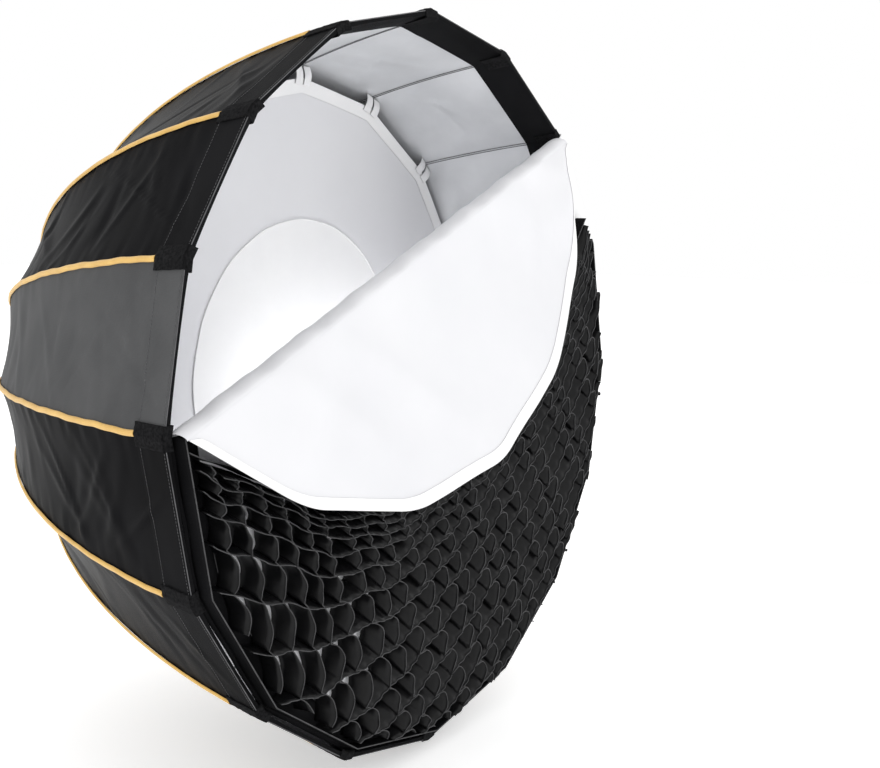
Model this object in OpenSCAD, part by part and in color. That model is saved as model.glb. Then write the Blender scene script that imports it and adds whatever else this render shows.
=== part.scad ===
/* [Shell] */
// Radius of the rim, axis to corner
rim_r = 600; // [500:10:700]
// Depth from the rib pivots to the rim
depth = 770; // [650:10:850]
// Thickness of the outer cloth
cloth_t = 1.2; // [1.0:0.1:1.6]
// Length of the sewn band round the rim
band_len = 62; // [50:2:80]
// Width of the piping along each rib
piping_w = 9; // [6:1:12]
// Width of each side of a corner patch
patch_w = 22; // [16:1:24]

/* [Ribs] */
// Width and thickness of a rib rod
rod_w = 5; // [4:0.5:6]
// Distance from the middle of a rod to the outside of the cloth
skin_gap = 6; // [5.5:0.25:8]
// Diameter of a rib's hinge pin
pin_d = 5; // [4:0.5:6]

/* [Hub] */
// Radius of the circle of rib pivots
pivot_r = 78; // [76:1:80]
// Bore for the light's tube
bore_r = 52; // [48:1:54]
// Outside radius of the hub ring
hub_r = 96; // [92:1:98]
// Distance from the mounting face to the rib pivots
pivot_z = 26; // [24:1:30]
// Height of the bayonet collar behind the mounting face
collar_h = 12; // [10:1:16]

/* [Diffusers] */
// Distance of the inner diffuser behind the rim
inner_depth = 266; // [220:2:300]
// Radius of the sewn disc in the middle of the inner diffuser
patch_r = 270; // [200:10:300]
// Width of the hems
hem_w = 21; // [16:1:28]
// Depth of the honeycomb grid
grid_t = 28; // [20:1:40]
// How far the flap leans out from the grid, in degrees
flap_lean = 14; // [0:1:20]

/* [Hidden] */
SIDES = 16;
STEP = 360 / SIDES;
HALF = STEP / 2;
CURVE_STEPS = 22;
EPS = 0.01;
$fn = 64;

rim_z = pivot_z + depth;
inner_z = rim_z - inner_depth;

// The bow of a rib as a cubic curve in the plane (radius, distance forward)
BOW = [
    [pivot_r, pivot_z],
    [0.795 * rim_r, pivot_z + 0.050 * depth],
    [0.962 * rim_r, pivot_z + 0.857 * depth],
    [rim_r - skin_gap, rim_z]
];

plate_t = 8;
plate_r = 90;
collar_r = 61;
lug_r = 71;
lug_t = 5;
hub_front = pivot_z + 9;
slot_w = 8;
slot_inner_r = 66;
eye_r = 7;
eye_w = 7;
pin_len = 20;
pin_gap = 0.05;
shank_len = 30;
cap_len = 14;
cap_w = 8;
cap_t = 6;
lining_off = 4.4;
lining_t = 0.8;
band_t = 1.0;
layer_gap = 0.2;
sleeve_r = 101;
screw_r = 2;
screw_circle_r = 84;
screw_count = 8;

sheet_t = 1.2;
cover_r = 584;
inner_r = 508;
strap_w = 24;
cover_z = rim_z - 14;
grid_z = rim_z - 10;
flap_z = grid_z + grid_t + 4;
flap_axis_z = (cover_z + flap_z) / 2;
// The crease of the front diffuser runs from the corner at the left to the one at the upper right
CREASE_FROM = 4;
CREASE_TO = 14;
crease_gap = 3;
// Distance from the axis to the crease
crease_h = cover_r * cos(STEP * (SIDES - CREASE_TO + CREASE_FROM) / 2);

function mix(a, b, f) = a + (b - a) * f;
function bow(f) =
    let (a = mix(BOW[0], BOW[1], f), b = mix(BOW[1], BOW[2], f), c = mix(BOW[2], BOW[3], f))
    mix(mix(a, b, f), mix(b, c, f), f);
function bow_way(f) =
    let (d = bow(min(1, f + EPS)) - bow(max(0, f - EPS)))
    d / norm(d);
// A point of the bow, moved outwards by off
function beside(f, off) =
    let (w = bow_way(f))
    bow(f) + off * [w[1], -w[0]];
// The place on the bow that lies z forward, found by halving
function at_z(z, low = 0, high = 1, n = 16) =
    let (m = (low + high) / 2)
    n == 0 ? m : bow(m)[1] < z ? at_z(z, m, high, n - 1) : at_z(z, low, m, n - 1);
function at_r(r, low = 0, high = 1, n = 16) =
    let (m = (low + high) / 2)
    n == 0 ? m : bow(m)[0] < r ? at_r(r, m, high, n - 1) : at_r(r, low, m, n - 1);
function corner(k, r) = [-r * sin(STEP * k), r * cos(STEP * k)];

f_sleeve = at_r(sleeve_r);
f_shank = at_r(pivot_r + shank_len);
f_cap = at_z(rim_z - cap_len);
f_band = at_z(rim_z - band_len);

// The hub's own frame: z points forward, to the opening, and y up
module forward() {
    rotate([90, 0, 0]) children();
}

module at_rib(k) {
    rotate([0, 0, STEP * k]) children();
}

// Stands a (radius, forward) outline up in the plane of the top rib
module in_rib_plane(width) {
    rotate([90, 0, 90]) translate([0, 0, -width / 2]) linear_extrude(width) children();
}

// Outline of a strip that follows the bow between two places and two offsets
module strip(f0, f1, off0, off1, squeeze = 1) {
    steps = max(2, round(CURVE_STEPS * (f1 - f0)));
    there = [for (i = [0 : steps]) beside(mix(f0, f1, i / steps), off1)];
    back = [for (i = [steps : -1 : 0]) beside(mix(f0, f1, i / steps), off0)];
    polygon([for (p = concat(there, back)) [p[0] * squeeze, p[1]]]);
}

// The slice of space between two rib planes, from the top rib towards the next one
module slice(gap) {
    reach = 2 * rim_r;
    linear_extrude(rim_z + collar_h)
        polygon([
            [-gap, gap / tan(HALF)],
            [-gap, reach],
            [-reach * sin(STEP) + gap, reach * cos(STEP) + gap]
        ]);
}

// One flat-sided wall between the top rib and the next, at two offsets from the bow
module wall(f0, f1, off0, off1) {
    intersection() {
        rotate([0, 0, HALF])
            in_rib_plane(rim_r) strip(f0, f1, off0, off1, cos(HALF));
        slice(layer_gap);
    }
}

// Half of a corner patch, on the wall to one side of the top rib
module patch_half(side) {
    intersection() {
        rotate([0, 0, side * HALF])
            in_rib_plane(rim_r) strip(f_band, 1, skin_gap + 1.8, skin_gap + 3.4, cos(HALF));
        translate([side > 0 ? -patch_w : 0, 0, 0])
            cube([patch_w, 2 * rim_r, rim_z + rod_w]);
    }
}

module panel(k) {
    color("#1b1b1d")
    forward() at_rib(k) {
        wall(f_sleeve, 1, skin_gap - cloth_t, skin_gap);
        wall(f_sleeve, 1, -lining_off, -lining_off + lining_t);
        wall(f_band, 1, skin_gap + layer_gap, skin_gap + layer_gap + band_t);
        in_rib_plane(piping_w) strip(f_sleeve, f_band - EPS, skin_gap + 0.6, skin_gap + 2.2);
        union() {
            patch_half(1);
            patch_half(-1);
        }
    }
}

module rib(k) {
    color("#3a3a3c")
    forward() at_rib(k) {
        rib_fitting();
        in_rib_plane(rod_w) strip(f_shank, f_cap, -rod_w / 2, rod_w / 2);
        in_rib_plane(cap_w) strip(f_cap, 1, -cap_t / 2, cap_t / 2);
    }
}

// The eye that turns on the hinge pin, with the socket that holds the rod
module rib_fitting() {
    difference() {
        union() {
            translate([0, pivot_r, pivot_z]) rotate([0, 90, 0])
                cylinder(h = eye_w, r = eye_r, center = true);
            in_rib_plane(eye_w) strip(0, f_shank, -3.2, 3.2);
        }
        translate([0, pivot_r, pivot_z]) rotate([0, 90, 0])
            cylinder(h = 2 * eye_w, r = pin_d / 2 + pin_gap, center = true);
    }
}

module hub_ring() {
    color("#2a2b2d")
    forward() difference() {
        translate([0, 0, plate_t]) cylinder(h = hub_front - plate_t, r = hub_r);
        cylinder(h = hub_front + 1, r = bore_r + 6);
        for (k = [0 : SIDES - 1]) at_rib(k) {
            translate([-slot_w / 2, slot_inner_r, pivot_z - eye_r - 2])
                cube([slot_w, hub_r, hub_front]);
            translate([0, pivot_r, pivot_z]) rotate([0, 90, 0])
                cylinder(h = pin_len, r = pin_d / 2, center = true);
        }
        screw_places() cylinder(h = pivot_z - 4, r = screw_r);
    }
}

module screw_places() {
    for (k = [0 : screw_count - 1])
        rotate([0, 0, HALF + k * 360 / screw_count])
            translate([0, screw_circle_r, 0]) children();
}

module hinge_pins() {
    color("silver")
    forward() for (k = [0 : SIDES - 1]) at_rib(k)
        translate([0, pivot_r, pivot_z]) rotate([0, 90, 0])
            cylinder(h = pin_len, r = pin_d / 2, center = true);
}

// Three-lug bayonet plate that the light's front holds
module bayonet_plate() {
    color("silver")
    forward() difference() {
        union() {
            cylinder(h = plate_t, r = plate_r);
            translate([0, 0, -collar_h]) cylinder(h = collar_h + 1, r = collar_r);
            for (k = [0 : 2]) rotate([0, 0, 120 * k]) intersection() {
                translate([0, 0, -collar_h]) cylinder(h = lug_t, r = lug_r);
                translate([-16, 0, -collar_h]) cube([32, 2 * lug_r, lug_t]);
            }
        }
        translate([0, 0, -collar_h - 1]) cylinder(h = collar_h + plate_t + 2, r = bore_r);
        screw_places() translate([0, 0, -1]) cylinder(h = plate_t + 2, r = screw_r);
        screw_places() translate([0, 0, -1]) cylinder(h = 4, r = 2 * screw_r);
    }
}

module plate_screws() {
    color("dimgray")
    forward() screw_places() {
        translate([0, 0, 0.2]) cylinder(h = 2.8, r = 2 * screw_r - 0.2);
        translate([0, 0, 2.9]) cylinder(h = 17, r = screw_r);
    }
}

// Elastic edge of the shell, drawn tight round the hub
module elastic_collar() {
    color("#161617")
    forward() translate([0, 0, plate_t + 1]) difference() {
        cylinder(h = 7, r = sleeve_r + 2);
        translate([0, 0, -1]) cylinder(h = 9, r = hub_r + layer_gap);
    }
}

// Regular outline with the corners at the ribs
module outline(r) {
    polygon([for (k = [0 : SIDES - 1]) corner(k, r)]);
}

// The part of the opening below the crease
module below_crease(r, gap) {
    intersection() {
        outline(r);
        rotate(STEP) translate([-2 * rim_r, crease_h - gap - 4 * rim_r]) square(4 * rim_r);
    }
}

// The part above the crease, mirrored over the crease to where it hangs
module hanging(r, gap) {
    rotate(STEP) translate([0, crease_h]) mirror([0, 1, 0]) translate([0, -crease_h])
        intersection() {
            rotate(-STEP) outline(r);
            translate([-2 * rim_r, crease_h + gap]) square(4 * rim_r);
        }
}

module inner_diffuser() {
    color("white")
    forward() translate([0, 0, inner_z]) linear_extrude(sheet_t) outline(inner_r);
}

module inner_patch() {
    color("white")
    forward() translate([0, 0, inner_z + sheet_t + layer_gap]) cylinder(h = 0.8, r = patch_r);
}

module inner_straps() {
    end_r = beside(at_z(inner_z), -lining_off)[0] - 3;
    color("white")
    forward() for (k = [0 : SIDES - 1]) at_rib(k)
        translate([-strap_w / 2, inner_r + 0.5, inner_z])
            cube([strap_w, end_r - inner_r - 0.5, sheet_t]);
}

module front_diffuser() {
    color("white")
    forward() translate([0, 0, cover_z]) linear_extrude(sheet_t)
        below_crease(cover_r, crease_gap);
}

// Hem along the edge that is still fixed in the rim
module front_hem() {
    color("white")
    forward() translate([0, 0, cover_z + sheet_t + layer_gap]) linear_extrude(1)
        difference() {
            below_crease(cover_r, crease_gap);
            outline(cover_r - hem_w);
        }
}

// Turns what hangs flat in front of the grid forwards about the crease
module leaning() {
    on_crease = [-crease_h * sin(STEP), crease_h * cos(STEP), flap_axis_z];
    translate(on_crease) rotate(a = flap_lean, v = [-cos(STEP), -sin(STEP), 0])
        translate(-on_crease) children();
}

module flap() {
    color("white")
    forward() leaning() translate([0, 0, flap_z]) linear_extrude(sheet_t)
        hanging(cover_r, crease_gap);
}

module flap_hem() {
    color("white")
    forward() leaning() translate([0, 0, flap_z + sheet_t + layer_gap]) linear_extrude(1)
        difference() {
            hanging(cover_r, crease_gap);
            hanging(cover_r - hem_w, 0);
        }
}

module grid() {
    color("#101011")
    forward() translate([0, 0, grid_z]) linear_extrude(grid_t)
        below_crease(cover_r - 10, 12);
}

// Cloth border that carries the grid in the rim
module grid_border() {
    color("#1b1b1d")
    forward() translate([0, 0, grid_z]) linear_extrude(grid_t)
        difference() {
            below_crease(cover_r - 2, 12);
            outline(cover_r - 9);
        }
}

rib(0);  // rib_01
rib(1);  // rib_02
rib(2);  // rib_03
rib(3);  // rib_04
rib(4);  // rib_05
rib(5);  // rib_06
rib(6);  // rib_07
rib(7);  // rib_08
rib(8);  // rib_09
rib(9);  // rib_10
rib(10);  // rib_11
rib(11);  // rib_12
rib(12);  // rib_13
rib(13);  // rib_14
rib(14);  // rib_15
rib(15);  // rib_16
panel(0);  // panel_01
panel(1);  // panel_02
panel(2);  // panel_03
panel(3);  // panel_04
panel(4);  // panel_05
panel(5);  // panel_06
panel(6);  // panel_07
panel(7);  // panel_08
panel(8);  // panel_09
panel(9);  // panel_10
panel(10);  // panel_11
panel(11);  // panel_12
panel(12);  // panel_13
panel(13);  // panel_14
panel(14);  // panel_15
panel(15);  // panel_16
hub_ring();
hinge_pins();
bayonet_plate();
plate_screws();
elastic_collar();
inner_diffuser();
inner_patch();
inner_straps();
front_diffuser();
front_hem();
flap();
flap_hem();
grid();
grid_border();
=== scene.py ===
"""Deep sixteen-sided folding softbox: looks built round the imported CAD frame."""
import math

import bpy
import numpy as np
from mathutils import Matrix, Vector

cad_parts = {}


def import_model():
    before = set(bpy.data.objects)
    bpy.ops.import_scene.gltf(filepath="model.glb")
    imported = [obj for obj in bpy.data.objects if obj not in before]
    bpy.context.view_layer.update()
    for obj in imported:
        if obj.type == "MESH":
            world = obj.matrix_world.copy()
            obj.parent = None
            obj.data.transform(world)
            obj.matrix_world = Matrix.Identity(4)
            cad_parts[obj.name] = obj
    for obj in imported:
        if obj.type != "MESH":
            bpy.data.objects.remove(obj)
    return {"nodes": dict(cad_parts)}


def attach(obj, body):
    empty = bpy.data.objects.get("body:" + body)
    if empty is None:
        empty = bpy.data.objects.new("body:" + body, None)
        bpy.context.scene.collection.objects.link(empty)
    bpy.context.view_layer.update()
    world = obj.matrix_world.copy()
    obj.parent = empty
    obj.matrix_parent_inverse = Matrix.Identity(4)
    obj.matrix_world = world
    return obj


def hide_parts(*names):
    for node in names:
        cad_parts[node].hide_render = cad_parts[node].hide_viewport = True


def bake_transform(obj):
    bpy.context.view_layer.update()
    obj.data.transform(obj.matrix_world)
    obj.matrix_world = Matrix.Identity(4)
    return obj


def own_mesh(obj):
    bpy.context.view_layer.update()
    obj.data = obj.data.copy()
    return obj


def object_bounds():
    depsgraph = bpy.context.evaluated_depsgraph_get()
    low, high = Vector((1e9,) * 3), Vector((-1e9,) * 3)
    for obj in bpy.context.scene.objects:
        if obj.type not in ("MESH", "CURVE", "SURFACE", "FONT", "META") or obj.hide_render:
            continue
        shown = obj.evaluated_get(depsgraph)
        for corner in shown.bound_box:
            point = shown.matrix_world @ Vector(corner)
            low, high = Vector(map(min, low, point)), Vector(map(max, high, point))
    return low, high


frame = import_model()
cad_lo, cad_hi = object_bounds()
rng = np.random.default_rng(16)

SIDES = 16
STEP = 2 * math.pi / SIDES
RIM_R = 0.600
PIVOT_R, PIVOT_Z = 0.078, 0.026
DEPTH = 0.770
RIM_Z = PIVOT_Z + DEPTH
FOLD = math.radians(32)
COVER_R = 0.584
COVER_Z = RIM_Z - 0.014
GRID_Z = RIM_Z - 0.010
GRID_T = 0.028
FLAP_Z = GRID_Z + GRID_T + 0.004
AXIS_Z = (COVER_Z + FLAP_Z) / 2
INNER_R = 0.508
INNER_Z = RIM_Z - 0.266
PATCH_R = 0.270
HEM_W = 0.021
BAND = 0.062
CREASE_H = COVER_R * math.cos(3 * STEP)
LEAN = math.radians(14)
# how far the outer cloth and the lining stand from the rib's centre line, and their thicknesses
CLOTH_OFF, LINING_OFF = 0.0054, -0.0036
CLOTH_T, LINING_T, DIFFUSER_T, GRID_CLOTH_T = 0.0008, 0.0006, 0.0007, 0.0006
FRONT = np.array([0, -1.0, 0])
BOW = np.array([
    (PIVOT_R, PIVOT_Z),
    (0.795 * RIM_R, PIVOT_Z + 0.050 * DEPTH),
    (0.962 * RIM_R, PIVOT_Z + 0.857 * DEPTH),
    (RIM_R - 0.006, RIM_Z),
])


# ---------------------------------------------------------------- geometry helpers
def bow(t):
    """The rib's centre line: distance from the axis, and forward."""
    t = np.asarray(t, float)[..., None]
    u = 1 - t
    return u**3 * BOW[0] + 3 * u * u * t * BOW[1] + 3 * u * t * t * BOW[2] + t**3 * BOW[3]


def bow_out(t):
    """Unit vectors square to the rib's line, away from the axis."""
    t = np.asarray(t, float)[..., None]
    u = 1 - t
    d = 3 * u * u * (BOW[1] - BOW[0]) + 6 * u * t * (BOW[2] - BOW[1]) + 3 * t * t * (BOW[3] - BOW[2])
    d /= np.linalg.norm(d, axis=-1, keepdims=True)
    return np.stack([d[..., 1], -d[..., 0]], -1)


def beside(t, off):
    return bow(t) + np.asarray(off)[..., None] * bow_out(t)


TT = np.linspace(0, 1, 4001)
BT = bow(TT)
BL = np.concatenate([[0], np.cumsum(np.linalg.norm(np.diff(BT, axis=0), axis=1))])
T_SLEEVE = float(np.interp(0.101, BT[:, 0], TT))
T_BAND = float(np.interp(RIM_Z - BAND, BT[:, 1], TT))


def world(x, y, f):
    """Sideways, up and forward from the hub, into the shared frame."""
    return np.stack(np.broadcast_arrays(np.asarray(x, float), -np.asarray(f, float), np.asarray(y, float)), -1)


def rib_dir(k):
    return np.array([-math.sin(STEP * k), math.cos(STEP * k)])


def rib_side(k):
    return np.array([math.cos(STEP * k), math.sin(STEP * k)])


def floats(p):
    return tuple(map(float, p))


def all_front(p):
    """A normal for each point of p, all facing forward."""
    return np.broadcast_to(FRONT, p.shape)


def turned(n, i, j, way):
    """Normals n, turned over if the one at i, j faces away from way."""
    return n if n[i, j] @ way > 0 else -n


def squash_on_rib(ob, k):
    """Gives the piece its own copy of its mesh; the pivot of rib k is worked out but not used."""
    a = STEP * k
    floats(world(-PIVOT_R * math.sin(a), PIVOT_R * math.cos(a), PIVOT_Z))
    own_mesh(ob)


def on_rib(k, t, off, side=0.0):
    """Points beside rib k: off outwards from its centre line, side along its hinge."""
    p = beside(t, off)
    e, s = rib_dir(k), rib_side(k)
    side = np.asarray(side, float)
    return world(p[..., 0] * e[0] + side * s[0], p[..., 0] * e[1] + side * s[1], p[..., 1])


def make(name, verts, faces, mats, index=None, smooth=True):
    me = bpy.data.meshes.new(name)
    me.from_pydata([floats(v) for v in verts], [], [tuple(map(int, f)) for f in faces])
    for m in mats:
        me.materials.append(m)
    if index is not None:
        me.polygons.foreach_set("material_index", np.asarray(index, np.int32))
    me.polygons.foreach_set("use_smooth", np.full(len(me.polygons), smooth))
    me.update()
    ob = bpy.data.objects.new(name, me)
    bpy.context.scene.collection.objects.link(ob)
    return ob


def quads(a, b):
    """Point numbers of an a by b grid, and its faces."""
    i = np.arange(a * b).reshape(a, b)
    return i, np.stack([i[:-1, :-1], i[1:, :-1], i[1:, 1:], i[:-1, 1:]], -1).reshape(-1, 4)


class Build:
    """Collects several surfaces into one mesh."""

    def __init__(self):
        self.v, self.f, self.m, self.n = [], [], [], []
        self.count = 0

    def add(self, verts, faces, mat=0, normals=None):
        verts = np.asarray(verts, float).reshape(-1, 3)
        self.v.append(verts)
        self.n.append(np.zeros_like(verts) if normals is None else np.asarray(normals, float).reshape(-1, 3))
        for f in faces:
            self.f.append([i + self.count for i in f])
            self.m.append(mat)
        self.count += len(verts)

    def grid(self, p, mat=0):
        i, q = quads(*p.shape[:2])
        self.add(p.reshape(-1, 3), q.tolist(), mat)

    def slab(self, p, n, thick, mat=0, split=False):
        """A thin sheet with edges: p is its middle surface, n the unit normals. Split gives it sharp corners."""
        a, b = p.shape[:2]
        top, low = p + n * thick / 2, p - n * thick / 2
        i, q = quads(a, b)
        j = q[:, ::-1] + a * b
        edge = []
        for r in (i[0, :], i[-1, ::-1], i[::-1, 0], i[:, -1]):
            for s, e in zip(r[:-1], r[1:]):
                edge.append([s, e, e + a * b, s + a * b])
        flat = top.reshape(-1, 3)
        out = np.cross(flat[q[:, 1]] - flat[q[:, 0]], flat[q[:, 2]] - flat[q[:, 0]])
        nn = np.concatenate([n.reshape(-1, 3), -n.reshape(-1, 3)])
        faces = q.tolist() + j.tolist()
        if np.sum(out * n.reshape(-1, 3)[q[:, 0]]) < 0:
            faces, edge = [f[::-1] for f in faces], [f[::-1] for f in edge]
        both = np.concatenate([flat, low.reshape(-1, 3)])
        if split:
            self.add(both, faces, mat, nn)
            for f in edge:
                self.add(both[f], [[0, 1, 2, 3]], mat)
        else:
            self.add(both, faces + edge, mat, nn)

    def tube(self, path, r, mat=0, sides=8, up=None):
        path = np.asarray(path, float)
        d = np.gradient(path, axis=0)
        d /= np.linalg.norm(d, axis=1, keepdims=True) + 1e-12
        up = np.broadcast_to(np.array([0, 0, 1.0]) if up is None else np.asarray(up, float), d.shape)
        s = np.cross(d, up)
        s /= np.linalg.norm(s, axis=1, keepdims=True) + 1e-12
        u = np.cross(s, d)
        a = np.linspace(0, 2 * np.pi, sides, endpoint=False)[None, :, None]
        ring = path[:, None] + r * (np.cos(a) * s[:, None] + np.sin(a) * u[:, None])
        n = len(path)
        f = [[i * sides + j, i * sides + (j + 1) % sides, (i + 1) * sides + (j + 1) % sides, (i + 1) * sides + j]
             for i in range(n - 1) for j in range(sides)]
        f += [list(range(sides))[::-1], [(n - 1) * sides + j for j in range(sides)]]
        self.add(ring, f, mat)

    def piece(self, name, mats, fixed=False):
        """The object; fixed keeps the sheets' own normals, so shading runs on over the cuts between pieces."""
        ob = make(name, np.concatenate(self.v), self.f, mats, self.m)
        if fixed:
            ob.data.normals_split_custom_set_from_vertices([floats(x) for x in np.concatenate(self.n)])
        return ob


def grid_normals(p):
    du = np.gradient(p, axis=0)
    dv = np.gradient(p, axis=1)
    n = np.cross(du, dv)
    return n / (np.linalg.norm(n, axis=-1, keepdims=True) + 1e-12)


def bump(x, c, w):
    return np.exp(-(((x - c) / w) ** 2))


# ---------------------------------------------------------------- materials
def material(name, color, rough, metal=0.0, sheen=0.0, spec=0.5):
    m = bpy.data.materials.new(name)
    m.use_nodes = True
    b = m.node_tree.nodes["Principled BSDF"]
    b.inputs["Base Color"].default_value = (*color, 1)
    b.inputs["Roughness"].default_value = rough
    b.inputs["Metallic"].default_value = metal
    b.inputs["Sheen Weight"].default_value = sheen
    b.inputs["Specular IOR Level"].default_value = spec
    return m


def node(m, kind, **values):
    n = m.node_tree.nodes.new(kind)
    for k, v in values.items():
        if k in n.inputs:
            n.inputs[k].default_value = v
        else:
            setattr(n, k, v)
    return n


def link(m, a, ao, b, bi):
    m.node_tree.links.new(a.outputs[ao], b.inputs[bi])


def two_colours(m, low, high, low_at, high_at, source, output):
    """A ramp from one colour to another, driven by a node's output."""
    ramp = node(m, "ShaderNodeValToRGB")
    for end, color, place in zip(ramp.color_ramp.elements, (low, high), (low_at, high_at)):
        end.position = place
        end.color = (*color, 1)
    link(m, source, output, ramp, "Fac")
    link(m, ramp, "Color", m.node_tree.nodes["Principled BSDF"], "Base Color")


def weave(m, size=0.0011, strength=0.25, depth=0.0004, tone=None, tone_scale=7.0, rough=None, grain=900.0):
    """Crossed threads and a fine grain as bump, and slow changes of colour and gloss over the cloth."""
    shader = m.node_tree.nodes["Principled BSDF"]
    at = node(m, "ShaderNodeTexCoord")
    waves = []
    for axis in "XZ":
        w = node(m, "ShaderNodeTexWave", Scale=0.314 / size, Distortion=1.2)
        w.bands_direction = axis
        w.inputs["Detail"].default_value = 1
        link(m, at, "Object", w, "Vector")
        waves.append(w)
    both = node(m, "ShaderNodeMath", operation="MULTIPLY")
    link(m, waves[0], "Fac", both, 0)
    link(m, waves[1], "Fac", both, 1)
    fine = node(m, "ShaderNodeTexNoise", Scale=grain, Detail=3.0)
    link(m, at, "Object", fine, "Vector")
    add = node(m, "ShaderNodeMath", operation="ADD")
    link(m, both, 0, add, 0)
    link(m, fine, "Fac", add, 1)
    bp = node(m, "ShaderNodeBump", Strength=strength, Distance=depth)
    link(m, add, 0, bp, "Height")
    link(m, bp, "Normal", shader, "Normal")
    slow = node(m, "ShaderNodeTexNoise", Scale=tone_scale, Detail=4.0)
    link(m, at, "Object", slow, "Vector")
    if tone:
        two_colours(m, *tone, 0.3, 0.7, slow, "Fac")
    if rough:
        span = node(m, "ShaderNodeMapRange")
        span.inputs["To Min"].default_value = rough[0]
        span.inputs["To Max"].default_value = rough[1]
        link(m, slow, "Fac", span, "Value")
        link(m, span, "Result", shader, "Roughness")
    return m


black = weave(material("shell_black", (0.007, 0.007, 0.008), 0.4, spec=0.028),
              tone=((0.004, 0.004, 0.0045), (0.008, 0.008, 0.009)), rough=(0.30, 0.40), strength=0.12)
grey = weave(material("shell_grey", (0.08, 0.08, 0.08), 0.5, spec=0.06),
             size=0.0022, tone=((0.070, 0.071, 0.073), (0.092, 0.093, 0.095)), rough=(0.44, 0.56), strength=0.35,
             tone_scale=11)
band_black = weave(material("rim_band", (0.008, 0.008, 0.009), 0.55, spec=0.08),
                   tone=((0.006, 0.006, 0.0065), (0.011, 0.011, 0.012)), rough=(0.5, 0.62), strength=0.35)
silver = weave(material("silver_lining", (0.66, 0.67, 0.69), 0.45, metal=0.25, spec=0.5),
               tone=((0.62, 0.63, 0.65), (0.74, 0.75, 0.77)), rough=(0.40, 0.52), strength=0.1, tone_scale=9)
for m_, ior in ((black, 1.26), (band_black, 1.2), (grey, 1.3)):
    m_.node_tree.nodes["Principled BSDF"].inputs["IOR"].default_value = ior
gold = weave(material("piping_gold", (0.80, 0.46, 0.10), 0.5, sheen=0.2),
             tone=((0.66, 0.38, 0.07), (0.80, 0.50, 0.12)), rough=(0.42, 0.58), strength=0.5, size=0.0016,
             tone_scale=30)
fuzzy = weave(material("hook_and_loop", (0.016, 0.016, 0.017), 0.95, spec=0.08),
              tone=((0.003, 0.003, 0.0035), (0.016, 0.016, 0.017)), strength=0.6, depth=0.0006, tone_scale=260,
              grain=420)
white = weave(material("diffuser_white", (0.87, 0.87, 0.89), 0.85, spec=0.15),
              tone=((0.785, 0.787, 0.81), (0.825, 0.826, 0.845)), strength=0.12, tone_scale=5)
bright = weave(material("hem_white", (0.97, 0.97, 0.97), 0.8, sheen=0.1, spec=0.25),
               tone=((0.95, 0.95, 0.955), (0.98, 0.98, 0.98)), strength=0.3, size=0.0018, tone_scale=20)
grid_cloth = weave(material("grid_black", (0.005, 0.005, 0.006), 0.36, spec=0.20),
                   tone=((0.003, 0.003, 0.0035), (0.007, 0.007, 0.0075)), rough=(0.30, 0.42), strength=0.12,
                   tone_scale=14)
thread = weave(material("thread_grey", (0.05, 0.05, 0.052), 0.6), size=0.0006, strength=0.5,
               tone=((0.030, 0.030, 0.032), (0.075, 0.075, 0.078)), tone_scale=60)
seam = weave(material("seam_grey", (0.20, 0.20, 0.21), 0.7, sheen=0.2), size=0.0008, strength=0.5,
             tone=((0.06, 0.06, 0.065), (0.12, 0.12, 0.125)), tone_scale=80)
webbing = weave(material("webbing_white", (0.92, 0.92, 0.93), 0.8, sheen=0.1), size=0.0014, strength=0.6,
                tone=((0.88, 0.88, 0.89), (0.95, 0.95, 0.95)), tone_scale=40)


def metal_material(name, color, rough, metal=1.0, wear=None):
    m = material(name, color, rough, metal=metal)
    s = m.node_tree.nodes["Principled BSDF"]
    at = node(m, "ShaderNodeTexCoord")
    n1 = node(m, "ShaderNodeTexNoise", Scale=38.0, Detail=6.0)
    link(m, at, "Object", n1, "Vector")
    span = node(m, "ShaderNodeMapRange")
    span.inputs["To Min"].default_value = rough - 0.09
    span.inputs["To Max"].default_value = rough + 0.09
    link(m, n1, "Fac", span, "Value")
    link(m, span, "Result", s, "Roughness")
    n2 = node(m, "ShaderNodeTexNoise", Scale=1400.0, Detail=2.0)
    link(m, at, "Object", n2, "Vector")
    bp = node(m, "ShaderNodeBump", Strength=0.12, Distance=0.0002)
    link(m, n2, "Fac", bp, "Height")
    link(m, bp, "Normal", s, "Normal")
    if wear:
        two_colours(m, color, wear, 0.52, 0.62, node(m, "ShaderNodeNewGeometry"), "Pointiness")
    return m


rib_metal = metal_material("rib_metal", (0.055, 0.055, 0.058), 0.38, wear=(0.35, 0.35, 0.36))
hub_metal = metal_material("hub_metal", (0.022, 0.022, 0.024), 0.52, metal=0.3, wear=(0.16, 0.16, 0.165))
plate_metal = metal_material("plate_metal", (0.74, 0.74, 0.75), 0.30)
pin_metal = metal_material("pin_metal", (0.55, 0.55, 0.56), 0.26)

for name, ob in frame["nodes"].items():
    use = (rib_metal if name.startswith("rib_") else
           {"hub_ring": hub_metal, "bayonet_plate": plate_metal, "hinge_pins": pin_metal,
            "plate_screws": pin_metal}.get(name))
    if use:
        for s in ob.material_slots:
            s.material = use

# ---------------------------------------------------------------- shell panels
STRIPS = 10
PER = 12
ACROSS = 32
# borders of the strips: even along the bow, and the last one at the sewn band
first, sewn = np.interp(T_SLEEVE, TT, BL), np.interp(T_BAND, TT, BL)
borders = np.append(np.interp(np.linspace(first, sewn, STRIPS), BL, TT), 1.0)
t_all = np.concatenate([np.linspace(borders[i], borders[i + 1], PER + 1)[:-1] for i in range(STRIPS)] + [[1.0]])
length = np.interp(t_all, TT, BL)
full = length[-1]
v_all = np.linspace(0, 1, ACROSS + 1)


def keep_at(t):
    """The share of a panel's width that is left at t when the ribs are folded."""
    r, z = bow(t)
    return (PIVOT_R + (r - PIVOT_R) * math.cos(FOLD) - (z - PIVOT_Z) * math.sin(FOLD)) / r


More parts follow.
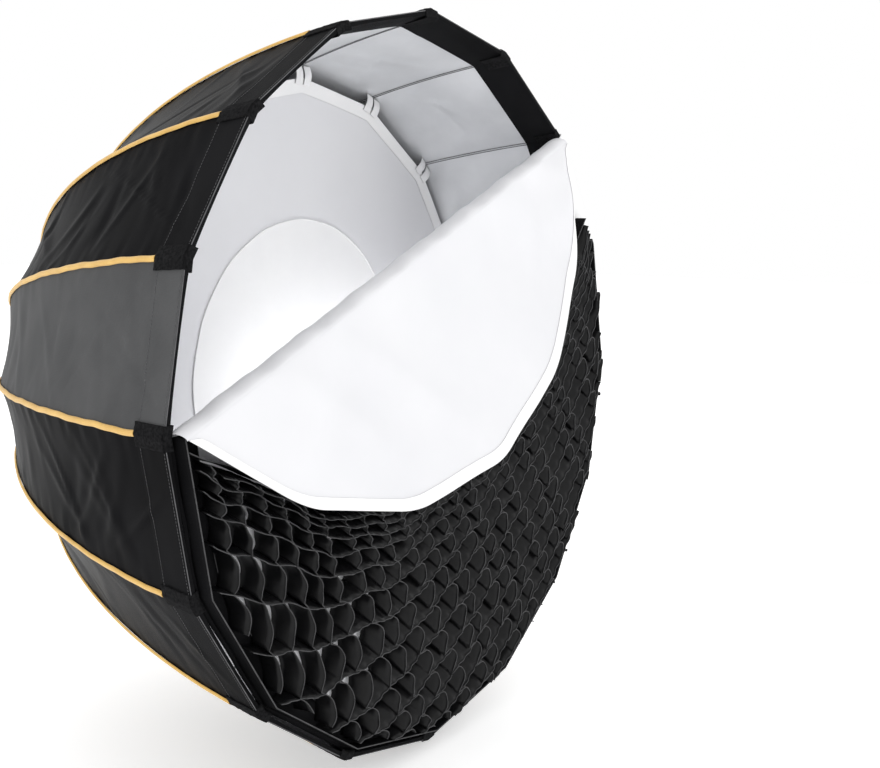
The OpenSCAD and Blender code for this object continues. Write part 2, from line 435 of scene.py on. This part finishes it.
def gather(k, t):
    """The squash that brings a strip's far edge onto the next rib when both are folded."""
    r, z = bow(t)
    a, h, keep = STEP * k, STEP / 2, float(np.clip(keep_at(t), 0.05, 1.0))
    along, outwards = world(-math.cos(a), -math.sin(a), 0), world(-math.sin(a), math.cos(a), 0)
    chord = along * math.cos(h) - outwards * math.sin(h)
    folded = along * math.cos(h) - outwards * math.sin(h) * math.cos(FOLD)
    folded = folded + FRONT * math.sin(h) * math.sin(FOLD)
    axis = chord - keep * folded
    size = np.linalg.norm(axis)
    axis = axis / size
    anchor = world(-r * math.sin(a), r * math.cos(a), z)
    return floats(axis), floats(anchor), float(1 - size / (chord @ axis))


def facet(k, off):
    """The flat panel between ribs k and k + 1, off outwards from their centre lines, and its normals."""
    a, b = on_rib(k, t_all, off), on_rib(k + 1, t_all, off)
    v = v_all[None, :, None]
    p = a[:, None] * (1 - v) + b[:, None] * v
    return p, turned(grid_normals(p), 60, 16, world(*(rib_dir(k) + rib_dir(k + 1)), 0))


def creases(count, low, high, size, wide, lean):
    """Folds that run from seam to seam, as places along the length."""
    return [(rng.uniform(low, high), rng.normal(0, lean), rng.uniform(*wide),
             size * rng.uniform(0.4, 1.0) * rng.choice([-1, 1]), rng.uniform(0.25, 0.75), rng.uniform(0.25, 0.6))
            for _ in range(count)]


for k in range(SIDES):
    tag = f"{k + 1:02d}"
    is_grey = k == 3
    p, n = facet(k, CLOTH_OFF)
    L, V = np.meshgrid(length, v_all, indexing="ij")
    along = L / full
    inside = np.sin(np.pi * V)
    d = -0.006 * inside * np.sin(np.pi * along) ** 1.2
    for c, lean, w, h, vc, vw in creases(13, 0.1, full - 0.09, 0.0030, (0.008, 0.024), 0.05) + \
            creases(6, full - 0.22, full - 0.06, 0.0022, (0.006, 0.014), 0.09):
        d += h * bump(L, c + lean * (V - 0.5) * 2, w) * inside ** 0.6 * bump(V, vc, vw)
    for side in (V, 1 - V):
        ph = rng.uniform(0, 6, 3)
        ripple = np.sin(L * 2 * np.pi / 0.024 + ph[0]) * 0.6 + np.sin(L * 2 * np.pi / 0.041 + ph[1]) * 0.8
        d += 0.0011 * ripple * np.exp(-side / 0.10) * (1 - np.exp(-side / 0.03))
        for _ in range(5):
            c = rng.uniform(0.15, full - 0.12)
            d += rng.uniform(0.001, 0.0026) * bump(L - c + side * rng.uniform(-0.16, 0.16), 0, 0.009) * \
                np.exp(-side / 0.28) * (1 - np.exp(-side / 0.05))
    hold = 1 - bump(L, full, 0.030)
    outer = p + n * (d * hold)[..., None]
    n_out = turned(grid_normals(outer), 60, 16, n[60, 16])

    q, _ = facet(k, LINING_OFF)
    e = 0.004 * inside ** 0.5 * np.sin(np.pi * along) ** 0.5 + d * 0.3
    for _ in range(9):
        c, slope, w = rng.uniform(0.15, full - 0.1), rng.uniform(-0.22, 0.22), rng.uniform(0.010, 0.028)
        e += rng.choice([-1, 1]) * rng.uniform(0.0008, 0.0026) * bump(L - c - slope * (V - 0.5), 0, w) * inside
    lining = q + n * np.minimum(e, d + 0.0066)[..., None] * hold[..., None]
    lining = lining + n * (0.0055 * bump(L, full, 0.022) * inside ** 0.3)[..., None]
    n_in = turned(grid_normals(lining), 60, 16, n[60, 16])

    for s in range(STRIPS):
        sl = slice(s * PER, (s + 1) * PER + 1)
        b = Build()
        last = s == STRIPS - 1
        b.slab(outer[sl], n_out[sl], CLOTH_T, 0, last)
        b.slab(lining[sl], n_in[sl], LINING_T, 1, last)
        if not last:
            # cloth that stays behind the next strip's edge when the panel gathers
            under = slice((s + 1) * PER - 1, (s + 1) * PER + 3)
            b.slab(outer[under] - n_out[under] * 0.0011, n_out[under], 0.0005, 0)
        if last:
            # sewn bands outside and inside the rim, their stitching, and the pale cord on the edge
            b.slab(outer[sl] + n_out[sl] * 0.0009, n_out[sl], CLOTH_T, 2 if not is_grey else 0, True)
            b.slab(lining[sl] - n_in[sl] * 0.0011, n_in[sl], CLOTH_T, 3, True)
            edge = outer[-1] + n_out[-1] * 0.0007
            w_ = np.linspace(0, 1, 4)[None, :, None]
            lip = (outer[-1] + n_out[-1] * 0.0012)[:, None] * (1 - w_)
            lip = lip + (lining[-1] - n_in[-1] * 0.0012)[:, None] * w_
            b.slab(lip, all_front(lip), CLOTH_T, 3, True)
            b.tube(edge + FRONT * 0.0006, 0.0007, 4, 6, up=(0, 1, 0))
            for row, lift in ((1, 0.0015), (11, 0.0015)):
                line = outer[sl][row] + n_out[sl][row] * lift
                count = 46
                u = np.linspace(0.02, 0.98, count + 1)
                for i in range(count):
                    ends = [u[i], u[i] + 0.6 * (u[i + 1] - u[i])]
                    b.tube(np.stack([np.interp(ends, v_all, line[:, c]) for c in range(3)], 1), 0.00045, 5, 4)
        cloth = grey if is_grey else black
        ob = b.piece(f"shell_{tag}_{s}", [cloth, silver, band_black, band_black, seam, seam], fixed=True)
        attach(ob, f"rib_{tag}")
        mid = float((borders[s] + borders[s + 1]) / 2)
        axis, anchor, keep = gather(k, mid)
        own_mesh(ob)
        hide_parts(f"panel_{tag}")

# ---------------------------------------------------------------- piping, corner patches and seams on the ribs
for k in range(SIDES):
    tag = f"{k + 1:02d}"
    b = Build()
    t = np.linspace(T_SLEEVE + 0.002, T_BAND, 150)
    # the piping's section: sideways and outwards
    cross = [(-0.0045, 0.0066), (-0.0038, 0.0088), (-0.0018, 0.0099), (0.0, 0.0102), (0.0018, 0.0099),
             (0.0038, 0.0088), (0.0045, 0.0066)]
    wobble = 0.0006 * np.sin(np.interp(t, TT, BL) * 50 + k) + 0.0004 * np.sin(np.interp(t, TT, BL) * 121 + 2 * k)
    rings = np.stack([on_rib(k, t, off, side + wobble) for side, off in cross], 1)
    closed = np.concatenate([rings, on_rib(k, t, 0.0062, 0.0045 + wobble)[:, None],
                             on_rib(k, t, 0.0062, -0.0045 + wobble)[:, None], rings[:, :1]], 1)
    b.grid(closed, 0)
    for row, flip in ((closed[0], False), (closed[-1], True)):
        f = list(range(len(row) - 1))
        b.add(row, [f if flip else f[::-1]], 0)
    ob = b.piece(f"piping_{tag}", [gold])
    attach(ob, f"rib_{tag}")

    b = Build()
    t = np.linspace(T_BAND, 1.0, 14)
    half = math.tan(STEP / 2)
    side = np.concatenate([np.linspace(-0.0168, 0, 8), np.linspace(0, 0.0168, 8)[1:]])
    rough = rng.normal(0, 0.00028, (len(t), len(side)))
    grid_p = np.stack([on_rib(k, t, 0.0080 + rough[:, i] - abs(s) * half, s) for i, s in enumerate(side)], 1)
    b.slab(grid_p, turned(grid_normals(grid_p), 5, 7, world(*rib_dir(k), 0)), 0.0024, 0)
    inner_t = np.linspace(float(np.interp(RIM_Z - 0.040, BT[:, 1], TT)), 1.0, 10)
    grid_q = np.stack([on_rib(k, inner_t, -0.0052 - abs(s) * half, s) for s in side], 1)
    b.slab(grid_q, grid_normals(grid_q), 0.0016, 0)
    # the patch goes round the rim's edge
    lip = np.stack([on_rib(k, np.array([1.0]), off - abs(s) * half, s)[0]
                    for off in np.linspace(0.0082, -0.0052, 5) for s in side]).reshape(5, len(side), 3)
    b.slab(lip + FRONT * 0.0006, all_front(lip), 0.0014, 0)
    ob = b.piece(f"corner_{tag}", [fuzzy])
    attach(ob, f"rib_{tag}")
    squash_on_rib(ob, k)

    b = Build()
    t = np.linspace(T_SLEEVE + 0.03, T_BAND, 90)
    for s in (-0.0022, 0.0022):
        b.tube(on_rib(k, t, -0.0049 - abs(s) * half * 0.5, s), 0.0006, 0, 5)
    ob = b.piece(f"sleeve_seam_{tag}", [seam])
    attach(ob, f"rib_{tag}")

# ---------------------------------------------------------------- gathered elastic edge round the hub
b = Build()
m_ = 240
ang = np.linspace(0, 2 * np.pi, m_ + 1)
prof = []
for i in range(14):
    c = 2 * np.pi * i / 13
    gather = 0.0011 * np.sin(ang * 60)
    rr = 0.0996 + (0.0030 * np.cos(c)) + gather * (0.5 + 0.5 * math.cos(c))
    ff = 0.0125 + 0.0034 * np.sin(c)
    prof.append(world(rr * np.cos(ang), rr * np.sin(ang), ff))
b.grid(np.stack(prof, 1), 0)
ob = b.piece("elastic_edge", [black])
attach(ob, "hub")
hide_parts("elastic_collar")

# ---------------------------------------------------------------- inner diffuser
for k in range(SIDES):
    tag = f"{k + 1:02d}"
    b = Build()
    rr = np.concatenate([np.linspace(0.004, PATCH_R, 16), np.linspace(PATCH_R, INNER_R, 20)[1:]])
    aa = np.linspace(-0.55, 0.55, 23) * STEP + STEP * k
    R, A = np.meshgrid(rr, aa, indexing="ij")
    # a polygon with its corners at the ribs
    poly = math.cos(STEP / 2) / np.cos(np.abs(((A - STEP * k + STEP / 2) % STEP) - STEP / 2) * -1 + STEP / 2)
    share = R / INNER_R
    rad = R * (1 - share**3 + share**3 * poly)
    X, Y = -rad * np.sin(A), rad * np.cos(A)
    F = INNER_Z + 0.0006 - 0.006 * (1 - share**2) + 0.0022 * np.sin(16 * A) * share**2 * (1 - share) * 2
    F += 0.0010 * np.sin(7 * A + 9 * share) * share**2
    p = world(X, Y, F)
    nn = turned(grid_normals(p), 5, 5, FRONT)
    p, nn = p[:, 1:-1], nn[:, 1:-1]
    # rows at the sewn disc's edge, and where the cloth is cut in two pieces so that it can fold
    low, cut = 15, 22
    middle = Build()
    middle.slab(p[:cut + 1], nn[:cut + 1], 0.0006, 0)
    middle.slab(p[:low + 1] + FRONT * 0.0010, nn[:low + 1], DIFFUSER_T, 1)
    middle.tube(p[low] + FRONT * 0.0018, 0.0011, 1, 6)
    b.slab(p[cut:], nn[cut:], 0.0006, 0)
    b.slab(p[-3:] + FRONT * 0.0012, nn[-3:], 0.0010, 1)
    # the double tab that hooks over the rib
    for s in (-0.011, 0.011):
        out, sd = rib_dir(k), rib_side(k)
        r0, r1 = INNER_R - 0.012, float(np.interp(INNER_Z, BT[:, 1], BT[:, 0])) - 0.007
        q = np.linspace(0, 1, 7)
        mid = r0 + (r1 - r0) * q
        wide = np.array([-0.0085, 0, 0.0085])
        tab = np.stack([world(mid * out[0] + (s + w) * sd[0], mid * out[1] + (s + w) * sd[1],
                              INNER_Z + 0.003 + 0.004 * np.sin(np.pi * q)) for w in wide], 1)
        b.slab(tab, grid_normals(tab), 0.0014, 2)
    disc = middle.piece(f"inner_middle_{tag}", [white, bright], fixed=True)
    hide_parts("inner_patch")
    floats(world(0, 0, INNER_Z))
    floats(world(*(rib_dir(k) * 0.52), INNER_Z))
    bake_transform(disc)
    ring = b.piece(f"inner_ring_{tag}", [white, bright, webbing], fixed=True)
    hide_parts("inner_diffuser", "inner_straps")
    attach(ring, f"rib_{tag}")
    squash_on_rib(ring, k)

# ---------------------------------------------------------------- front diffuser, crease and flap
C_DIR = rib_side(1)          # along the crease, towards the upper right corner
N_UP = rib_dir(1)            # from the crease towards the open side
ends = [COVER_R * rib_dir(4), COVER_R * rib_dir(14)]
U0, U1 = float(ends[0] @ C_DIR), float(ends[1] @ C_DIR)
top = [COVER_R * rib_dir(i) for i in (4, 3, 2, 1, 0, 15, 14)]
top_u = np.array([p @ C_DIR for p in top])
top_h = np.array([p @ N_UP for p in top]) - CREASE_H


def depth_at(u):
    """How far the flap reaches from the crease at u."""
    near = np.linspace(-0.028, 0.028, 9)
    h = np.mean([np.interp(np.asarray(u) + x, top_u, top_h) for x in near], axis=0)
    # 5 mm short of the rim, so the flap closes without cutting into the lining
    return np.maximum(np.minimum(h, np.interp(u, top_u, top_h)) - 0.005, 0.0008)


def on_cover(u, h, f):
    """u along the crease, h from it towards the open side, f forward."""
    u, h = np.asarray(u, float), np.asarray(h, float)
    x = u * C_DIR[0] + (CREASE_H + h) * N_UP[0]
    y = u * C_DIR[1] + (CREASE_H + h) * N_UP[1]
    return world(x, y, f)


uu = np.linspace(U0 + 0.004, U1 - 0.004, 130)
ww = np.linspace(0, 1, 70)
U, W = np.meshgrid(uu, ww, indexing="ij")
mid_u = (U - U0) / (U1 - U0)
H = depth_at(U) * W
lean_here = LEAN * (0.9 + 0.3 * mid_u)
swing = H * np.cos(lean_here)
out = H * np.sin(lean_here) * (0.80 + 0.20 * W)
wr = np.zeros_like(U)
# soft wrinkles that run down the flap
for _ in range(9):
    c, w_, s_ = rng.uniform(0.1, 0.9), rng.uniform(0.02, 0.06), rng.uniform(-0.25, 0.25)
    wr += rng.choice([-1, 1]) * rng.uniform(0.002, 0.0065) * bump(mid_u + s_ * W, c, w_) * np.sin(np.pi * W**0.8)
wr += 0.013 * bump(mid_u, 0.93, 0.04) * np.sin(np.pi * W) - 0.008 * bump(mid_u, 0.85, 0.03) * np.sin(np.pi * W)
wr += 0.0016 * np.sin(mid_u * 46 + 4 * W) * W**2 * (1 - 0.5 * W)
flap_f = FLAP_Z + 0.0008 + out + wr
flap_p = on_cover(U, -0.003 - swing, flap_f)
b = Build()
b.slab(flap_p, turned(grid_normals(flap_p), 60, 30, FRONT), DIFFUSER_T, 0)
flap_piece = b.piece("flap_cloth", [white], fixed=True)
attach(flap_piece, "flap")
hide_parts("flap")

b = Build()
wh = np.linspace(0, 1, 6)
hem_rows = []
hem_share = HEM_W / np.maximum(depth_at(uu), 0.03)
for x in wh:
    pos = np.clip(1 - hem_share * (1 - x), 0, 1)
    i = pos * (len(ww) - 1)
    i0 = np.clip(np.floor(i).astype(int), 0, len(ww) - 2)
    fr = (i - i0)[:, None]
    j = np.arange(len(uu))
    hem_rows.append(flap_p[j, i0] * (1 - fr) + flap_p[j, i0 + 1] * fr + FRONT * 0.0010)
hem = np.stack(hem_rows, 1)
b.slab(hem, turned(grid_normals(hem), 60, 2, FRONT), 0.0010, 0)
b.tube(hem[:, 0] + FRONT * 0.0006, 0.0006, 0, 5)
hem_piece = b.piece("flap_hem_tape", [bright], fixed=True)
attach(hem_piece, "flap")
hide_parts("flap_hem")

# the part that is still fixed in the rim
low = [COVER_R * rib_dir(i) for i in (4, 5, 6, 7, 8, 9, 10, 11, 12, 13, 14)]
low_u = np.array([p @ C_DIR for p in low])
low_h = np.array([p @ N_UP for p in low]) - CREASE_H
tpar = np.linspace(0, len(low) - 1, 221)
edge_u, edge_h = np.interp(tpar, range(len(low)), low_u), np.interp(tpar, range(len(low)), low_h)
line_u = np.linspace(U0, U1, len(tpar))
s = np.linspace(0, 1, 40)[None, :]
PU = line_u[:, None] * (1 - s) + edge_u[:, None] * s
PH = -0.003 * (1 - s) + edge_h[:, None] * s
PF = COVER_Z + 0.0006 - 0.004 * np.sin(np.pi * s) + 0.0012 * np.sin(40 * PU) * s * (1 - s)
front_p = on_cover(PU, PH, PF)
b = Build()
b.slab(front_p, all_front(front_p), DIFFUSER_T, 0)
front_piece = b.piece("front_cloth", [white])
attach(front_piece, "front_cover")
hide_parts("front_diffuser")
b = Build()
inwards = np.linspace(0, HEM_W, 4)[None, :]
rad = np.hypot(edge_u, edge_h + CREASE_H)[:, None]
sc = (rad - inwards) / rad
band = on_cover(edge_u[:, None] * sc, (edge_h[:, None] + CREASE_H) * sc - CREASE_H, COVER_Z + 0.0022)
b.slab(band, all_front(band), 0.0009, 0)
# it laps over the rim between two corners at the upper right, as its hook-and-loop holds it there
ks = np.linspace(0, 1, 40)
line = rib_dir(14) * (1 - ks[:, None]) + rib_dir(13) * ks[:, None]
lap = np.stack([world(line[:, 0] * r_, line[:, 1] * r_, RIM_Z + 0.004 - 0.004 * j_ + 0.0008 * np.sin(ks * 23))
                for r_, j_ in ((0.568, 3), (0.580, 1.6), (0.590, 0.4), (0.598, 0), (0.6035, 0.2), (0.6045, 2.0))], 1)
b.slab(lap, grid_normals(lap), 0.0009, 0)
fhem = b.piece("front_hem_tape", [bright])
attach(fhem, "front_cover")
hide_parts("front_hem")
pts = np.stack([edge_u, edge_h], 1)

# the crease rolls over from one to the other
b = Build()
roll = np.linspace(0, np.pi, 13)
radius = (FLAP_Z - COVER_Z) / 2
cu = np.linspace(U0 + 0.001, U1 - 0.001, 110)
wav = 0.0014 * np.sin(cu * 41) + 0.0010 * np.sin(cu * 97 + 1)
rp = np.stack([on_cover(cu, -0.003 + (0.009 + wav) * np.sin(a_), AXIS_Z - radius * math.cos(a_) + 0.0006)
               for a_ in roll], 1)
b.slab(rp, turned(grid_normals(rp), 50, 6, world(*N_UP, 0)), DIFFUSER_T, 0)
crease = b.piece("crease_cloth", [white], fixed=True)
mid_c = on_cover((U0 + U1) / 2, 0.0, AXIS_Z)
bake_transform(crease)

# ---------------------------------------------------------------- grid: crossed cloth strips, slumped at the top
# the free upper edge, sideways and up
T_X = np.array([-.958, -.75, -.5, -.2, .2, .6, .857]) * RIM_R
T_Z = np.array([-.036, -.12, -.24, -.26, -.12, .15, .475]) * RIM_R
ROW, COLUMN = 0.088 * RIM_R, 0.076 * RIM_R
DEEP = 0.0335


def inside_poly(x, z):
    """Whether points lie inside the grid's sixteen-sided border."""
    ok = np.ones(np.shape(x), bool)
    apothem = (COVER_R - 0.012) * math.cos(STEP / 2)
    for i in range(SIDES):
        a = STEP * (i + 0.5)
        ok &= (-math.sin(a) * x + math.cos(a) * z) < apothem
    return ok


def top_z(x):
    return np.interp(x, T_X, T_Z)


SX = np.linspace(-1.05 * RIM_R, 1.05 * RIM_R, 301)
# the long strips' line further down, from its slope in degrees
fall = np.tan(np.radians(np.interp(SX / RIM_R, [-1, -.6, .7, 1], [10, 15, 42, 50])))
SZ = np.concatenate([[0], np.cumsum((fall[1:] + fall[:-1]) / 2 * np.diff(SX))])
SZ = SZ - np.interp(0, SX, SZ)


def level(x, c):
    """Height of the strip at distance c below the free edge: it follows that edge, then its own line."""
    w = np.clip(c / (0.55 * RIM_R), 0, 1)
    w = w * w * (3 - 2 * w)
    base = np.interp(x, SX, SZ) - 0.22 * RIM_R
    return (1 - w) * top_z(x) + w * base - c


# the strips' distances below the free edge: bunched there, then even
rows = list(np.cumsum([0, 0.020, 0.026, 0.032, 0.042, 0.054, 0.066, 0.076]) * RIM_R)
while rows[-1] < 1.9 * RIM_R:
    rows.append(rows[-1] + ROW)
cols = np.arange(-1.75 * RIM_R, 1.35 * RIM_R, COLUMN)


def strip_band(b, path, bulge, phase):
    """One standing strip: path is its middle line in the rim's plane, its two long edges stray differently."""
    path = np.asarray(path)
    if len(path) < 4:
        return
    d = np.gradient(path, axis=0)
    d /= np.linalg.norm(d, axis=1, keepdims=True) + 1e-12
    side = np.stack([-d[:, 1], d[:, 0]], 1)
    lines = []
    for y in np.linspace(0, 1, 5):
        off = bulge * (0.35 + 0.65 * y)
        q = path + side * off[:, None]
        sag = np.clip((path[:, 0] + 0.75 * RIM_R) / (0.5 * RIM_R), 0.62, 1.0) * y**1.3
        room = np.clip((COVER_R * 0.985 - np.hypot(q[:, 0], q[:, 1])) / 0.05, 0, 1)
        q = q + (sag * room)[:, None] * np.array([0.013, -0.024])
        lines.append(world(q[:, 0], q[:, 1], GRID_Z + y * DEEP + 0.0012 * np.sin(np.arange(len(q)) * 0.9 + phase)))
    g = np.stack(lines, 1)
    b.slab(g, grid_normals(g), GRID_CLOTH_T, 0)
    b.tube(g[:, -1], 0.0008, 1, 5, up=(0, 1, 0))


def runs(ok):
    """The unbroken stretches of ok that are long enough for a strip."""
    idx = np.where(ok)[0]
    return [r for r in np.split(idx, np.where(np.diff(idx) > 1)[0] + 1) if len(r) > 5]


b = Build()
for i, c in enumerate(rows):
    x = np.linspace(-0.98 * RIM_R, 0.98 * RIM_R, 420)
    z = level(x, c) + 0.0022 * np.sin(x / (0.11 * RIM_R) + rng.uniform(0, 6)) + 0.0010 * np.sin(x / (0.04 * RIM_R) + i)
    ok = inside_poly(x, z) & (z < top_z(x) + 0.002) & (x > T_X[0]) & (x < 0.975 * RIM_R)
    for r in runs(ok):
        amp = 0.0025 * np.sin(x[r] / COLUMN * np.pi + rng.uniform(0, 6)) - 0.003
        strip_band(b, np.stack([x[r], z[r]], 1), amp, rng.uniform(0, 6))
ob = b.piece("grid_long_strips", [grid_cloth, thread])
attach(ob, "front_cover")
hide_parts("grid")

wild = rng.uniform(0.45, 1.25, (40, 40))
b = Build()
for j, x0 in enumerate(cols):
    pts = []
    jitter = np.cumsum(rng.normal(0, 0.0016, len(rows)))
    for i in range(len(rows) - 1):
        for s_ in np.linspace(0, 1, 14)[:-1]:
            c = rows[i] * (1 - s_) + rows[i + 1] * s_
            x = x0 + 0.45 * c + jitter[i] * (1 - s_) + jitter[i + 1] * s_
            cell = (rows[i + 1] - rows[i]) / ROW
            push = 0.0135 * cell * np.sin(np.pi * s_) ** 0.8 * wild[j % 40, i % 40]
            x = x + push
            pts.append((x, level(x, c) + 0.25 * push, cell, s_))
    pts = np.array(pts)
    ok = inside_poly(pts[:, 0], pts[:, 1]) & (pts[:, 1] < top_z(pts[:, 0]) + 0.001) & (pts[:, 0] > T_X[0])
    for r in runs(ok):
        q = pts[r]
        amp = 0.013 * q[:, 2] * np.sin(np.pi * q[:, 3]) * rng.uniform(0.5, 1.3)
        strip_band(b, q[:, :2], amp, rng.uniform(0, 6))
ob = b.piece("grid_cross_strips", [grid_cloth, thread])
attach(ob, "front_cover")
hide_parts("grid")

# border cloth of the grid, round the rim and along its free upper edge
b = Build()
rim = np.array([(COVER_R - 0.0035) * rib_dir(i) for i in range(4, 15)])
par = np.linspace(0, 10, 201)
bx, bz = np.interp(par, range(11), rim[:, 0]), np.interp(par, range(11), rim[:, 1])
ok = bz < np.where(bx > 0.3, 0.40 * RIM_R, 0.02)
bx, bz = bx[ok], bz[ok]
strip = np.stack([world(bx, bz, GRID_Z + 0.001 + GRID_T * x) for x in np.linspace(0, 0.96, 5)], 1)
b.slab(strip, grid_normals(strip), 0.0014, 0)
b.tube(strip[:, -1], 0.0010, 1, 5, up=(0, 1, 0))
wave = GRID_Z + 0.003 + 0.0010 * np.sin(np.arange(len(bx)) * 0.7)
skirt = np.stack([world(bx * w_, bz * w_, wave) for w_ in np.linspace(1.013, 0.93, 6)], 1)
b.slab(skirt, grid_normals(skirt), 0.0010, 0)
b.tube(skirt[:, -1] + FRONT * 0.0010, 0.0007, 1, 5, up=(0, 1, 0))
x = np.linspace(T_X[0], T_X[-1] - 0.02 * RIM_R, 160)
edge = np.stack([world(x, top_z(x) + 0.003 + 0.0015 * np.sin(x * 60), GRID_Z + GRID_T * y)
                 for y in np.linspace(0, 1, 5)], 1)
b.slab(edge, grid_normals(edge), 0.0012, 0)
b.tube(edge[:, -1], 0.0010, 1, 5, up=(0, 1, 0))
ob = b.piece("grid_border_cloth", [band_black, thread])
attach(ob, "front_cover")
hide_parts("grid_border")

# ---------------------------------------------------------------- floor, light, camera
floor_m = material("floor", (0.95, 0.95, 0.95), 0.9)
floor_shader = floor_m.node_tree.nodes["Principled BSDF"]
at = node(floor_m, "ShaderNodeTexCoord")
nz = node(floor_m, "ShaderNodeTexNoise", Scale=3.0)
link(floor_m, at, "Object", nz, "Vector")
bp = node(floor_m, "ShaderNodeBump", Strength=0.02, Distance=0.001)
link(floor_m, nz, "Fac", bp, "Height")
link(floor_m, bp, "Normal", floor_shader, "Normal")
floor_shader.inputs["Emission Color"].default_value = (1, 1, 1, 1)
floor_shader.inputs["Emission Strength"].default_value = 0.42
FLOOR = 14.0
z0 = float(cad_lo[2]) - 0.012
floor = make("floor", [(x * FLOOR, y * FLOOR, z0) for x, y in ((-1, -1), (1, -1), (1, 1), (-1, 1))],
             [(0, 1, 2, 3)], [floor_m], smooth=False)

sky = bpy.data.worlds.new("studio")
sky.use_nodes = True
sky.node_tree.nodes["Background"].inputs["Color"].default_value = (1, 1, 1, 1)
sky.node_tree.nodes["Background"].inputs["Strength"].default_value = 1.0
bpy.context.scene.world = sky


def area_light(name, place, target, size, watts):
    li = bpy.data.lights.new(name, "AREA")
    li.shape = "RECTANGLE"
    li.size, li.size_y = size
    li.energy = watts
    ob = bpy.data.objects.new(name, li)
    ob.location = place
    ob.visible_camera = False
    ob.rotation_euler = (Vector(target) - Vector(place)).to_track_quat("-Z", "Y").to_euler()
    bpy.context.scene.collection.objects.link(ob)


area_light("key", (-1.6, -3.6, 2.6), (0, -0.4, 0), (2.2, 2.2), 7)
area_light("fill", (2.6, -3.0, 1.2), (0, -0.6, 0), (2.0, 2.0), 2)
area_light("left", (-3.6, -0.2, 1.4), (-0.3, -0.5, 0), (0.5, 2.0), 6)

# lifts the hollow, which the open front alone leaves dim
area_light("hollow", (0.10, -0.69, -0.15), (0.02, 0.0, -0.02), (0.5, 0.26), 1.35)

cam = bpy.data.cameras.new("camera")
cam.lens, cam.sensor_width, cam.sensor_fit = 54.86, 36.0, "HORIZONTAL"
camera = bpy.data.objects.new("camera", cam)
place = Vector((-1.799, -2.009, 0.297))
way = Vector((0.826, 0.548, -0.133)).normalized()
right = Vector((0.553, -0.833, 0.005))
right = (right - right.dot(way) * way).normalized()
up = right.cross(way)
camera.matrix_world = Matrix(((right.x, up.x, -way.x, place.x), (right.y, up.y, -way.y, place.y),
                              (right.z, up.z, -way.z, place.z), (0, 0, 0, 1)))
bpy.context.scene.collection.objects.link(camera)
bpy.context.scene.camera = camera
bpy.context.scene.view_settings.view_transform = "Standard"
bpy.context.scene.view_settings.look = "None"
